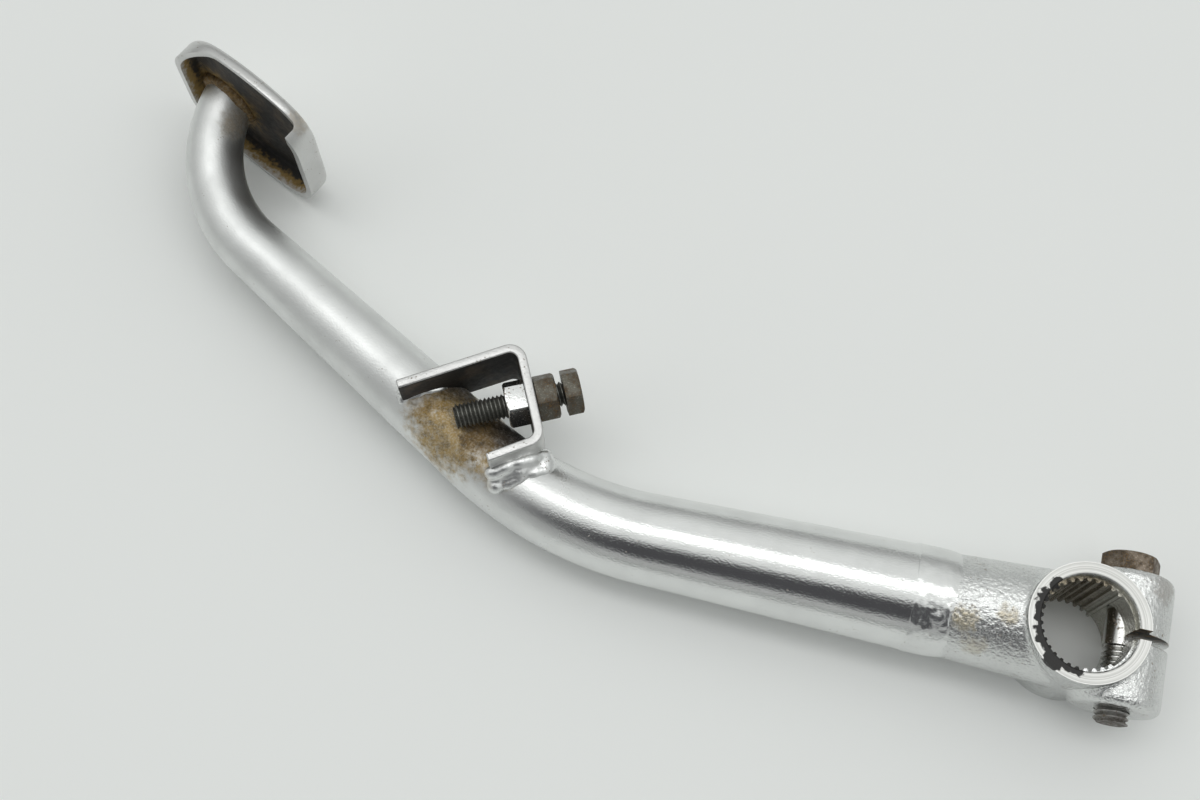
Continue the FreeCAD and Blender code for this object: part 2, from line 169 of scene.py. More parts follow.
class PEDAL_PG_stop(bpy.types.PropertyGroup):
    """The stop bracket, its bolt and its nuts."""
    past_bend: length("Bolt past bend", 8.7, "From the arm's corner on to the bolt")
    aside: length("Bolt aside", 24.0, "From the arm's axis out to the bolt")
    above_bend: length("Bolt above bend", 14.3, "From the arm's corner up to the bolt")
    thickness: length("Strip thickness", 2.2, "Thickness of the bracket")
    width: length("Strip width", 20.0, "Height of the bracket")
    top: length("Strip top", 30.5, "Height of the bracket's upper edge")
    bend: length("Bend radius", 2.0, "Inside radius of the folds")
    flange_heading: angle("Flange heading", 32.0, "Direction of the long flange")
    tab_heading: angle("Tab heading", 34.0, "Direction of the short tab")
    leg: length("Leg length", 25.7, "Between the two folds")
    leg_above: length("Leg above bolt", 13.7, "From the bolt to the upper fold")
    flange: length("Flange length", 31.5, "From the upper fold to the toe")
    tab: length("Tab length", 14.2, "From the lower fold to the toe")
    bead: length("Bracket bead", 3.5, "Radius of the heavy bead")
    toe_bead: length("Toe bead", 2.0, "Radius of the light bead")
    bolt: length("Stop bolt diameter", 6.0, "Thread size")
    pitch: length("Stop bolt pitch", 1.0, "Thread pitch")
    bolt_length: length("Stop bolt length", 26.5, "Under the head")
    flats: length("Across flats", 10.0, "Head and nuts")
    head: length("Head height", 4.0, "Stop bolt head")
    nut: length("Nut height", 5.0, "Both nuts")
    gap: length("Head gap", 1.7, "Between the lock nut and the head")
    nut_clearance: length("Nut clearance", 0.15, "Between the lock nut and the bracket")


class PEDAL_PG_finish(bpy.types.PropertyGroup):
    """Colours of the finishes."""
    chrome: colour("Chrome", (0.79, 0.80, 0.79), "Bright plate")
    cast_chrome: colour("Cast chrome", (0.73, 0.74, 0.73), "Plate over the rough forging")
    rust: colour("Rust", (0.165, 0.098, 0.034), "Old brown rust")
    pale_rust: colour("Pale rust", (0.46, 0.32, 0.06), "Dusty yellow-brown rust")
    gold_stain: colour("Stain", (0.31, 0.20, 0.058), "Thin golden-brown rust stain")
    gold_film: colour("Gold film", (0.42, 0.28, 0.08), "Thin rust film that still shines")
    weld_grey: colour("Weld grey", (0.62, 0.62, 0.61), "Plate over the beads")
    dark_rust: colour("Dark rust", (0.065, 0.048, 0.032), "Rust on the fasteners")
    # Also painted shade: the near-black deep inside the pad's pan.
    grime_and_shade: colour("Grime", (0.012, 0.011, 0.010), "Black grease and dirt")
    worn_steel: colour("Worn steel", (0.105, 0.099, 0.082), "Plating gone dull on the stop bolt")
    thread_steel: colour("Thread steel", (0.17, 0.17, 0.155), "Dark thread of the stop bolt")
    brown_steel: colour("Brown steel", (0.20, 0.165, 0.13), "Plating gone dull on the pinch bolt")
    bare_steel: colour("Bare steel", (0.62, 0.62, 0.60), "Clean shank in the bore")
    bore: colour("Bore", (0.30, 0.26, 0.19), "Brown steel among the serrations")
    bore_mouth: colour("Bore mouth", (0.30, 0.32, 0.32), "Plain counterbore")
    bore_clean: colour("Clean bore", (0.52, 0.51, 0.45), "Plain wall beside the bolt")
    ring: colour("Ring", (0.68, 0.68, 0.66), "Turned face of the hub")
    ring_marks: colour("Ring marks", (0.36, 0.36, 0.34), "Turning marks on that face")
    floor: colour("Floor", (0.91, 0.925, 0.91), "Pale table")


class PEDAL_PG_stage(bpy.types.PropertyGroup):
    """Camera, floor, lamp and room."""
    eye: place("Eye", (-93.8, -85.1, 386.5), "Where the camera stands")
    look: direction("Look", (-0.0684, 0.2962, -0.9527), "Viewing direction")
    lens: FloatProperty(name="Lens", description="Focal length on a 36 mm frame", default=48.0, min=10)
    floor: length("Floor", 6000.0, "From the part to the floor's edge")
    lamp: place("Lamp", (-100.0, 160.0, 1000.0), "Where the lamp hangs")
    lamp_aim: direction("Lamp aim", (0.0, -0.13, -1.0), "Where the lamp points")
    lamp_length: length("Lamp length", 1400.0, "Along the arm")
    lamp_width: length("Lamp width", 240.0, "Across the arm")
    lamp_power: FloatProperty(name="Lamp power", description="Output of the lamp", default=1.8, unit="POWER")
    room_low: colour("Room, low", (0.345, 0.353, 0.347), "Light of the room at the horizon")
    room_high: colour("Room, high", (0.86, 0.876, 0.865), "Light of the room overhead")
    room_shade: colour("Room, shade", (0.075, 0.075, 0.08), "Dark part of the room, which the arm mirrors")
    backdrop: colour("Backdrop", (0.575, 0.595, 0.58), "What is seen past the floor's edge")


def settings():
    """The scene's property groups."""
    return bpy.context.scene


# Frames and paths

def heading(turn):
    """The level direction at this angle from +X."""
    return Vector((math.cos(turn), math.sin(turn), 0))


def axes(origin, x_axis, z_axis):
    """The matrix that takes local X and Z to these directions at this origin."""
    z = z_axis.normalized()
    x = (x_axis - z * x_axis.dot(z)).normalized()
    y = z.cross(x)
    turn = Matrix((x, y, z)).transposed().to_4x4()
    return Matrix.Translation(origin) @ turn


def across(origin, way):
    """A frame whose Z runs along the path and whose X is level."""
    return axes(origin, UP.cross(way), way)


def bend(corner, before, after, radius, steps):
    """Points and directions along the arc that rounds a corner."""
    back = (before - corner).normalized()
    on = (after - corner).normalized()
    half = back.angle(on) / 2
    start = corner + back * (radius / math.tan(half))
    centre = corner + (back + on).normalized() * (radius / math.sin(half))
    spin_axis = on.cross(back).normalized()
    found = []
    for k in range(steps + 1):
        turn = Quaternion(spin_axis, (math.pi - 2 * half) * k / steps)
        found.append((centre + turn @ (start - centre), turn @ -back))
    return found


def pad_seat():
    """Where the tube's axis meets the plate, and the corner of the path before it."""
    tube = settings().pedal_tube
    arm = arm_bend()
    toe = arm + heading(math.pi - tube.arm_turn) * tube.bend_to_toe + UP * tube.toe_rise
    return toe + heading(tube.toe_heading) * tube.toe_to_pad + UP * tube.pad_rise, toe


def arm_bend():
    """The corner of the tube's path in mid-arm."""
    tube = settings().pedal_tube
    return Vector((-tube.hub_to_bend, 0, tube.bend_height))


def arm_axis():
    """The hub's middle and the direction in which the arm leaves it."""
    middle = UP * settings().pedal_hub.height / 2
    return middle, (arm_bend() - middle).normalized()


def spread(first, second, steps):
    """Points strictly between two path points, along a straight run."""
    return [(first[0].lerp(second[0], k / steps), first[1]) for k in range(1, steps)]


def tube_rings():
    """Centres, directions and radii along the tube."""
    run_steps = 10
    tube = settings().pedal_tube
    middle, way = arm_axis()
    start = middle + way * tube.start
    seat, toe = pad_seat()
    last_way = (seat - toe).normalized()
    end = seat + last_way * tube.pad_end
    arm = bend(arm_bend(), start, toe, tube.arm_radius, 28)
    bow = bend(toe, arm_bend(), end, tube.toe_radius, 56)
    path = [(start, way)] + spread((start, way), arm[0], run_steps) + arm
    path += spread(arm[-1], bow[0], run_steps) + bow + spread(bow[-1], (end, last_way), run_steps)
    path.append((end, last_way))
    reached = [0.0]
    for here, there in zip(path, path[1:]):
        reached.append(reached[-1] + (there[0] - here[0]).length)
    wide = tube.hub_end / 2
    slope = (tube.pad_end / 2 - wide) / reached[-1]
    return [(at, on, wide + slope * run) for (at, on), run in zip(path, reached)]


def tube_top(point, rings):
    """The point on the tube's upper side above or below this one."""
    flat = point.xy
    centre, _, radius = min(rings, key=lambda ring: (ring[0].xy - flat).length)
    aside = (flat - centre.xy).length
    rise = math.sqrt(max(radius ** 2 - aside ** 2, 0))
    return Vector((point.x, point.y, centre.z + rise))


def pad_frame():
    """The pad's frame on the plate's inner face: X along its length and Z out of the tread."""
    pad = settings().pedal_pad
    along = heading(pad.heading)
    out = heading(pad.heading + math.pi / 2) * math.cos(pad.tilt) - UP * math.sin(pad.tilt)
    shift = along * (pad.length / 2 - pad.from_end) + along.cross(out) * pad.below_middle
    return axes(pad_seat()[0] + shift, along, out)


def strip_corners():
    """The bracket strip's outer face in plan: flange toe, two folds and tab toe."""
    stop = settings().pedal_stop
    down_leg = Vector((BOLT_OUT.y, -BOLT_OUT.x, 0))
    upper = stop_crossing() - down_leg * stop.leg_above
    lower = upper + down_leg * stop.leg
    corners = [upper - heading(stop.flange_heading) * stop.flange, upper, lower,
               lower - heading(stop.tab_heading) * stop.tab]
    return [Vector((c.x, c.y, 0)) for c in corners]


def stop_crossing():
    """Where the stop bolt's axis crosses the bracket's outer face."""
    stop = settings().pedal_stop
    return arm_bend() + Vector((-stop.past_bend, stop.aside, stop.above_bend))


# Mesh tools

def every(bm):
    """All the geometry of a mesh in one list."""
    return bm.verts[:] + bm.edges[:] + bm.faces[:]


def new_verts(made):
    """The points among what an operator has made."""
    return [part for part in made["geom"] if isinstance(part, bmesh.types.BMVert)]


def close_holes(bm):
    """Caps every open rim."""
    rims = [e for e in bm.edges if e.is_boundary]
    bmesh.ops.holes_fill(bm, edges=rims, sides=0)


def slice_off(bm, parts, point, way):
    """Cuts away what lies past a plane."""
    bmesh.ops.bisect_plane(bm, geom=parts, dist=CUT_SLACK, plane_co=point, plane_no=way, clear_outer=True)


def tidy(bm):
    """Merges doubles and turns the faces outwards."""
    bmesh.ops.remove_doubles(bm, verts=bm.verts, dist=SAME_PLACE)
    bmesh.ops.recalc_face_normals(bm, faces=bm.faces)


def made_by(tool, *sizes):
    """A mesh made by one of the tools."""
    bm = bmesh.new()
    tool(bm, *sizes)
    return bm


def to_scene(name, data):
    """A new object at the origin."""
    piece = bpy.data.objects.new(name, data)
    bpy.context.scene.collection.objects.link(piece)
    return piece


def to_object(bm, name, closed=True):
    """An object that holds this mesh; an open sheet's faces are left as they point."""
    if closed:
        tidy(bm)
    mesh = bpy.data.meshes.new(name)
    bm.to_mesh(mesh)
    bm.free()
    return to_scene(name, mesh)


def settle(piece):
    """Bakes a piece's modifiers into its mesh."""
    bpy.context.view_layer.update()
    shown = piece.evaluated_get(bpy.context.evaluated_depsgraph_get())
    mesh = bpy.data.meshes.new_from_object(shown)
    old = piece.data
    piece.modifiers.clear()
    piece.data = mesh
    bpy.data.meshes.remove(old)
    mesh.name = piece.name


@contextmanager
def reopened(piece):
    """A piece's mesh, open for editing."""
    bm = bmesh.new()
    bm.from_mesh(piece.data)
    yield bm
    bm.to_mesh(piece.data)
    bm.free()


def combine(piece, tool, *sizes, operation="DIFFERENCE"):
    """Cuts a piece with a solid that one of the tools makes, or intersects the two."""
    second = to_object(made_by(tool, *sizes), "tool")
    step = piece.modifiers.new("combine", "BOOLEAN")
    step.operation = operation
    step.solver = "EXACT"
    step.object = second
    settle(piece)
    spent = second.data
    bpy.data.objects.remove(second)
    bpy.data.meshes.remove(spent)
    if not piece.data.polygons:
        raise RuntimeError(piece.name + " has lost its mesh in a " + operation.lower())


def round_edges(piece, width, limit):
    """Breaks the edges of a piece that turn by more than a limit in degrees."""
    step = piece.modifiers.new("edges", "BEVEL")
    step.width = width
    step.segments = 3
    step.limit_method = "ANGLE"
    step.angle_limit = math.radians(limit)
    settle(piece)


def melt(piece, voxel, rounds):
    """Runs overlapping shells together into one skin with soft blends."""
    skin = piece.modifiers.new("skin", "REMESH")
    skin.mode = "VOXEL"
    skin.voxel_size = voxel
    soften = piece.modifiers.new("soften", "SMOOTH")
    soften.factor = 0.5
    soften.iterations = rounds
    settle(piece)


def thicken(piece, sheet, outside, inside):
    """Gives an open sheet its thickness on the inner side, and each side its finish."""
    for finish in (outside, inside):
        piece.data.materials.append(finish_of(finish))
    skin = piece.modifiers.new("sheet", "SOLIDIFY")
    skin.material_offset = 1
    skin.thickness = sheet
    skin.offset = -1
    skin.use_even_offset = True
    settle(piece)


def dress(piece, body, finishes, node):
    """Gives a finished piece its shading and finishes, puts it on its body and hides the node that it stands
    for.
    """
    piece.data.shade_smooth()
    piece.data.set_sharp_from_angle(angle=SHARP_FROM)
    faces = [face.material_index for face in piece.data.polygons]
    piece.data.materials.clear()
    for finish in finishes:
        piece.data.materials.append(finish_of(finish))
    piece.data.polygons.foreach_set("material_index", [min(k, len(finishes) - 1) for k in faces])
    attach(piece, body)
    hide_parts(node)


def add_mesh(bm, other):
    """Moves a second mesh into the first."""
    carrier = bpy.data.meshes.new("carrier")
    other.to_mesh(carrier)
    other.free()
    bm.from_mesh(carrier)
    bpy.data.meshes.remove(carrier)


def loft(bm, rings, segments):
    """A closed skin through circles given as centre, direction and radius."""
    loops = []
    for centre, way, radius in rings:
        made = bmesh.ops.create_circle(bm, segments=segments, radius=radius, matrix=across(centre, way))
        loops.append(list(dict.fromkeys(e for v in made["verts"] for e in v.link_edges)))
    for here, there in zip(loops, loops[1:]):
        bmesh.ops.bridge_loops(bm, edges=here + there)
    close_holes(bm)


def prism(bm, outline, way):
    """A solid drawn out of a flat outline."""
    face = bm.faces.new([bm.verts.new(point) for point in outline])
    drawn = bmesh.ops.extrude_face_region(bm, geom=[face])
    bmesh.ops.translate(bm, verts=new_verts(drawn), vec=way)


def soften_edges(bm, edges, width, segments):
    """Rounds these edges."""
    bmesh.ops.bevel(bm, geom=edges, offset=width, segments=segments, profile=0.5, affect="EDGES",
                    material=-1)


def profile_line(bm, profile):
    """A line through points given as radius and height, ready to be spun about Z."""
    verts = [bm.verts.new((r, 0, z)) for r, z in profile]
    return verts + [bm.edges.new(pair) for pair in zip(verts, verts[1:])]


def turned(bm, profile, segments):
    """A profile of radius and height turned once about Z."""
    made = bmesh.new()
    line = profile_line(made, profile)
    bmesh.ops.spin(made, geom=line, axis=UP, cent=(0, 0, 0), angle=FULL_TURN, steps=segments, use_merge=True)
    tidy(made)
    add_mesh(bm, made)


def box(bm, low, high):
    """A box between two corners."""
    middle = (Vector(low) + Vector(high)) / 2
    size = Vector(high) - Vector(low)
    place_it = Matrix.Translation(middle) @ Matrix.Diagonal((*size, 1))
    bmesh.ops.create_cube(bm, size=1, matrix=place_it)


def rod(bm, start, end, radius, segments=64):
    """A plain cylinder between two points."""
    way = end - start
    seat = axes((start + end) / 2, way.orthogonal(), way)
    bmesh.ops.create_cone(bm, cap_ends=True, segments=segments, radius1=radius, radius2=radius,
                          depth=way.length, matrix=seat)


def thread(bm, radius, pitch, bottom, top, matrix):
    """A closed threaded rod along Z, its lower end broken."""
    steps = 36
    made = bmesh.new()
    root = radius - 0.58 * pitch
    profile = ((root, 0), (radius, 0.42 * pitch), (radius, 0.58 * pitch), (root, pitch))
    line = profile_line(made, profile)
    turns = math.ceil((top - bottom) / pitch) + 3
    bmesh.ops.spin(made, geom=line, axis=UP, cent=(0, 0, 0), dvec=UP * (pitch / steps),
                   angle=FULL_TURN * turns, steps=steps * turns)
    bmesh.ops.remove_doubles(made, verts=made.verts, dist=pitch / 100)
    bmesh.ops.translate(made, verts=made.verts, vec=UP * (bottom - 1.5 * pitch))
    for height, way in ((top, UP), (bottom, -UP)):
        slice_off(made, every(made), UP * height, way)
        rim = [e for e in made.edges if all(abs(v.co.z - height) < SAME_PLACE for v in e.verts)]
        bmesh.ops.contextual_create(made, geom=rim)
    tip = [v for v in made.verts if abs(v.co.z - bottom) < SAME_PLACE]
    bmesh.ops.scale(made, verts=tip, vec=(0.88, 0.88, 1))
    bmesh.ops.recalc_face_normals(made, faces=made.faces)
    bmesh.ops.transform(made, matrix=matrix, verts=made.verts)
    add_mesh(bm, made)


def hexagon(name, flats, height, matrix, wear):
    """A hexagonal head or nut on the local XY plane, its top corners turned off and its edges worn."""
    corner = flats / math.sqrt(3)
    slope = math.tan(HEX_CHAMFER)
    drop = (corner - flats / 2) * slope
    bm = bmesh.new()
    bmesh.ops.create_cone(bm, cap_ends=True, segments=6, radius1=corner, radius2=corner, depth=height,
                          matrix=Matrix.Translation(UP * height / 2))
    head = to_object(bm, name)
    profile = ((0, -height), (2 * corner, -height), (2 * corner, height - drop - slope * corner),
               (flats / 2 * 0.97, height), (0, height))
    combine(head, turned, profile, ROUND_SIDES, operation="INTERSECT")
    round_edges(head, wear, limit=20)
    head.data.transform(matrix)
    return head


def join(piece, bm):
    """Adds a bolt's shank to its head, with the second finish."""
    for face in bm.faces:
        face.material_index = 1
    with reopened(piece) as whole:
        add_mesh(whole, bm)


def bead(name, points, radii, voxel, rounds):
    """A weld bead: overlapping puddles run together along a seam."""
    bm = bmesh.new()
    for point, radius in zip(points, radii):
        puddle = bmesh.new()
        bmesh.ops.create_icosphere(puddle, subdivisions=3, radius=radius, matrix=Matrix.Translation(point))
        add_mesh(bm, puddle)
    piece = to_object(bm, name)
    melt(piece, voxel, rounds)
    return piece


def roughen(piece, depth, grain, seed, side):
    """Pushes a piece's points inwards by seeded noise, most on one side, for a lumpy dressed weld."""
    shift = Vector((seed, 2.3 * seed, 3.7 * seed))
    with reopened(piece) as bm:
        bm.normal_update()
        for vert in bm.verts:
            broad = noise.noise(vert.co / grain + shift)
            small = noise.noise(vert.co * 2.6 / grain + shift)
            lump = 0.5 + 0.6 * broad + 0.3 * small
            share = max(0.0, vert.normal.dot(side)) ** 2
            vert.co -= vert.normal * depth * share * max(0.0, min(1.0, lump))


# Shader tools

def tree_of(*values):
    """The node tree of the first socket among these values."""
    return next(value.id_data for value in values if isinstance(value, bpy.types.NodeSocket))


def give(socket, value):
    """Links a socket to another one, or sets it to a constant."""
    if isinstance(value, bpy.types.NodeSocket):
        socket.id_data.links.new(value, socket)
    else:
        socket.default_value = value


def feed(made, sockets):
    """Links or sets a node's inputs."""
    for key, value in sockets.items():
        give(made.inputs[key], value)


def node(tree, kind, sockets, **options):
    """A shader node with its options, its constant inputs and its links."""
    made = tree.nodes.new(kind)
    for key, value in options.items():
        setattr(made, key, value)
    feed(made, sockets)
    return made


def maths(operation, first, second=0.0):
    """The result of a two-value sum."""
    sockets = {0: first, 1: second}
    return node(tree_of(first, second), "ShaderNodeMath", sockets, operation=operation).outputs[0]


def times(first, second):
    """The product of two values."""
    return maths("MULTIPLY", first, second)


def most(first, second):
    """The larger of two values."""
    return maths("MAXIMUM", first, second)


def vector_sum(operation, first, second=(0, 0, 0)):
    """A vector made of two others, or as Value their distance or product, or the first one's length."""
    return node(tree_of(first), "ShaderNodeVectorMath", {0: first, 1: second}, operation=operation).outputs


def parts_of(vector):
    """The X, Y and Z of a vector."""
    return node(tree_of(vector), "ShaderNodeSeparateXYZ", {0: vector}).outputs


def cloudy(at, scale, detail, rough=0.5):
    """Soft noise."""
    sockets = {"Vector": at, "Scale": scale, "Detail": detail, "Roughness": rough}
    return node(tree_of(at), "ShaderNodeTexNoise", sockets).outputs[0]


def mixed(share, first, second):
    """A colour between two others."""
    sockets = {0: share, 6: first, 7: second}
    return node(tree_of(share), "ShaderNodeMix", sockets, data_type="RGBA").outputs[2]


def between(share, low, high, start=0.0, end=1.0):
    """A value that runs from low at the start to high at the end."""
    sockets = {"Value": share, "From Min": start, "From Max": end, "To Min": low, "To Max": high}
    return node(tree_of(share), "ShaderNodeMapRange", sockets).outputs[0]


def step_up(value, start, end):
    """0 below the start, 1 above the end, smooth between."""
    sockets = {"Value": value, "From Min": start, "From Max": end}
    return node(tree_of(value), "ShaderNodeMapRange", sockets, interpolation_type="SMOOTHSTEP").outputs[0]


def relief(height, strength, depth):
    """A normal from a height."""
    sockets = {"Height": height, "Strength": strength, "Distance": depth}
    return node(tree_of(height), "ShaderNodeBump", sockets).outputs[0]


def new_group(name, inputs, output):
    """An empty shader node group with these sockets."""
    group = bpy.data.node_groups.new(name, "ShaderNodeTree")
    for label, kind, default in inputs:
        socket = group.interface.new_socket(label, in_out="INPUT", socket_type=kind)
        if default is not None:
            socket.default_value = default
    group.interface.new_socket(output, in_out="OUTPUT", socket_type="NodeSocketFloat")
    return group, group.nodes.new("NodeGroupInput").outputs, group.nodes.new("NodeGroupOutput").inputs


def spot_group():
    """A ragged patch about a point, soft towards its edge, for rust and grime."""
    inputs = (("Vector", "NodeSocketVector", None), ("Centre", "NodeSocketVector", None),
              ("Reach", "NodeSocketFloat", 0.01), ("Grain", "NodeSocketFloat", 500.0),
              ("Raggedness", "NodeSocketFloat", 0.8))
    group, given, made = new_group("ragged_spot", inputs, "Mask")
    away = vector_sum("DISTANCE", given["Vector"], given["Centre"])["Value"]
    share = maths("DIVIDE", away, given["Reach"])
    soft = maths("SUBTRACT", 1.0, step_up(share, 0.1, 1.0))
    cloud = cloudy(given["Vector"], given["Grain"], 8.0, 0.62)
    lump = times(maths("SUBTRACT", cloud, 0.5), given["Raggedness"])
    torn = maths("ADD", soft, times(lump, 3.0))
    mask = times(step_up(torn, 0.1, 0.85), step_up(soft, 0.0, 0.35))
    group.links.new(mask, made["Mask"])


def speckle_group():
    """Scattered small specks."""
    inputs = (("Vector", "NodeSocketVector", None), ("Scale", "NodeSocketFloat", 900.0),
              ("Amount", "NodeSocketFloat", 0.3))
    group, given, made = new_group("specks", inputs, "Mask")
    fine = cloudy(given["Vector"], given["Scale"], 3.0)
    broad = cloudy(given["Vector"], times(given["Scale"], 0.13), 2.0)
    height = maths("ADD", fine, times(broad, 0.5))
    start = maths("SUBTRACT", 1.12, times(given["Amount"], 0.5))
    end = maths("ADD", start, 0.05)
    group.links.new(step_up(height, start, end), made["Mask"])


def grouped(group, sockets):
    """A use of a node group, giving its first output."""
    tree = tree_of(*sockets.values())
    return node(tree, "ShaderNodeGroup", sockets, node_tree=bpy.data.node_groups[group]).outputs[0]


def ragged_spot(at, centre, reach, ragged, grain=500.0):
    """The mask of one ragged patch."""
    sockets = {"Vector": at, "Centre": centre, "Reach": reach, "Raggedness": ragged, "Grain": grain}
    return grouped("ragged_spot", sockets)


def surface(name):
    """A new material, its shader and its object coordinates."""
    made = bpy.data.materials.new(name)
    made.use_nodes = True
    tree = made.node_tree
    tree.nodes.clear()
    shader = tree.nodes.new("ShaderNodeBsdfPrincipled")
    tree.links.new(shader.outputs[0], tree.nodes.new("ShaderNodeOutputMaterial").inputs[0])
    return made, shader, tree.nodes.new("ShaderNodeTexCoord").outputs["Object"]


def rgba(name, share=1.0):
    """One of the finish colours, or a darker or lighter share of it, with full alpha."""
    return (*(share * c for c in getattr(settings().pedal_finish, name)), 1.0)


# Finishes

def plated(name, base, rough, fineness, grain, specks, spots=(), ragged=0.8, depth=0.0002):
    """Worn bright plate: uneven shine, fine grain, rust specks, and ragged spots of rust or grime.

    The shine runs from the first roughness at the hub to the second at the pad. Each spot is a point
    in millimetres, a reach in millimetres, a strength and a finish colour; ragged spots break into specks.
    """
    made, shader, at = surface(name)
    fine = cloudy(at, fineness, 4.0)
    shade = step_up(cloudy(at, 120.0, 6.0), 0.3, 0.75)
    mottle = step_up(cloudy(at, 650.0, 6.0, 0.7), 0.40, 0.70)
    dots = grouped("specks", {"Vector": at, "Scale": 1700.0, "Amount": specks})
    tone = mixed(times(shade, 0.3), rgba(base), rgba(base, 0.72))
    skin = mixed(times(dots, 0.7), tone, rgba("rust"))
    cover = times(dots, 0.6)
    thinned = between(step_up(fine, 0.3, 0.6), 0.72, 1.0)
    for point, reach, strength, stain in spots:
        patch = ragged_spot(at, [c * MM for c in point], reach * MM, ragged)
        mask = times(times(patch, strength), thinned)
        skin = mixed(mask, skin, mixed(mottle, rgba(stain), rgba(stain, 0.4)))
        cover = most(cover, times(mask, SHINE_LOST[stain]))
    shine = between(parts_of(at)[0], *rough, DULLER_FROM, DULLER_TO)
    shine = times(shine, between(shade, 0.94, 1.12))
    height = maths("ADD", fine, times(cover, 0.6))
    feed(shader, {
        "Base Color": skin,
        "Metallic": between(cover, 1.0, 0.1),
        "Roughness": maths("ADD", shine, times(cover, 0.5)),
        "Normal": relief(height, grain, depth),
    })
    return made


def bore_wall(split, cloud, hub):
    """The bore's colour, brown among the teeth and cleaner beside the bolt, and a mask of its near side."""
    mouth = maths("GREATER_THAN", split[2], hub.height - hub.mouth_depth + MASK_SLACK)
    wall = mixed(mouth, rgba("bore"), rgba("bore_mouth"))
    wall = mixed(step_up(cloud, 0.5, 0.75), wall, rgba("dark_rust"))
    wall = mixed(step_up(split[0], 0.003, 0.006), wall, rgba("bore_clean"))
    near = step_up(split[1], 0.001, -0.005)
    return mixed(near, wall, rgba("chrome")), near


def grease_smear(at, out, cloud, hub):
    """A mask of the grease along the ring's inner edge, with a lump at its lower end."""
    edge = hub.mouth / 2
    grain = 650.0
    grease = 0.0
    for turn, reach in ((142, 3.2), (163, 4.4), (186, 5.2), (209, 5.2), (232, 5.2), (255, 5.0)):
        centre = heading(math.radians(turn)) * edge + UP * (hub.height - MM)
        grease = most(grease, ragged_spot(at, centre, reach * MM, 0.45, grain))
    frayed = maths("ADD", out, times(maths("SUBTRACT", cloud, 0.5), 0.005))
    near_edge = step_up(frayed, edge + 0.0019, edge + 0.0015)
    smear = times(step_up(grease, 0.15, 0.45), near_edge)
    lump_at = heading(math.radians(236)) * 0.0122 + UP * hub.height
    lump = ragged_spot(at, lump_at, 0.0042, 0.3, grain)
    return most(smear, step_up(lump, 0.3, 0.5))


def machine_hub(made):
    """Adds the turned ring face, the greasy bore and the rusty slit to the forging's plate."""
    hub = settings().pedal_hub
    tree = made.node_tree
    shader = next(n for n in tree.nodes if n.type == "BSDF_PRINCIPLED")
    at = next(n for n in tree.nodes if n.type == "TEX_COORD").outputs["Object"]
    plate = {key: shader.inputs[key].links[0].from_socket
             for key in ("Base Color", "Roughness", "Metallic", "Normal")}
    split = parts_of(at)
    level = node(tree, "ShaderNodeCombineXYZ", {0: split[0], 1: split[1]}).outputs[0]
    out = vector_sum("LENGTH", level)["Value"]
    cloud = cloudy(at, 500.0, 6.0)

    ring = times(maths("GREATER_THAN", split[2], hub.height - 0.00006),
                 maths("LESS_THAN", out, hub.diameter / 2 + 0.0004))
    inside = times(maths("LESS_THAN", out, hub.mouth / 2 + MASK_SLACK),
                   maths("LESS_THAN", split[2], hub.height - 0.0001))
    aside = maths("ABSOLUTE", split[1])
    slit = times(maths("LESS_THAN", aside, hub.slit / 2 + 0.00008),
                 maths("GREATER_THAN", split[0], 0.008))
    slit = times(slit, step_up(split[2], 0.014, 0.022))
    smear = grease_smear(at, out, cloud, hub)
    wall, near = bore_wall(split, cloud, hub)

    sockets = {"W": out, "Scale": 2400.0, "Detail": 3.0}
    turning = node(tree, "ShaderNodeTexNoise", sockets, noise_dimensions="1D").outputs[0]
    marks = step_up(turning, 0.4, 0.62)
    face = mixed(times(marks, 0.55), rgba("ring"), rgba("ring_marks"))
    skin = mixed(inside, mixed(ring, plate["Base Color"], face), wall)
    rusty = mixed(step_up(cloud, 0.4, 0.6), rgba("rust"), rgba("grime_and_shade"))
    skin = mixed(smear, mixed(slit, skin, rusty), rgba("grime_and_shade"))

    dull = most(most(slit, smear), times(inside, between(near, 0.4, 0.0)))
    rough = between(ring, plate["Roughness"], 0.40)
    grain = {0: ring, 4: plate["Normal"], 5: relief(marks, 0.25, 0.0001)}
    feed(shader, {
        "Base Color": skin,
        "Metallic": times(plate["Metallic"], maths("SUBTRACT", 1.0, dull)),
        "Roughness": most(rough, times(dull, 0.5)),
        "Normal": node(tree, "ShaderNodeMix", grain, data_type="VECTOR").outputs[1],
    })


def rusty_finish(name, base, share):
    """Fasteners whose plating has gone to dull grey-brown rust."""
    made, shader, at = surface(name)
    cloud = cloudy(at, 420.0, 8.0, 0.65)
    fine = cloudy(at, 2600.0, 4.0)
    mask = step_up(cloud, 0.60 - share * 0.4, 0.78 - share * 0.3)
    rust = mixed(step_up(fine, 0.3, 0.55), rgba("rust"), rgba("dark_rust"))
    worn = mixed(step_up(fine, 0.5, 0.7), rgba(base), rgba(base, 1.9))
    feed(shader, {
        "Base Color": mixed(mask, worn, rust),
        "Metallic": between(mask, 0.85, 0.35),
        "Roughness": between(mask, 0.36, 0.6),
        "Normal": relief(maths("ADD", cloud, times(fine, 0.4)), 0.5, 0.0003),
    })
    return made


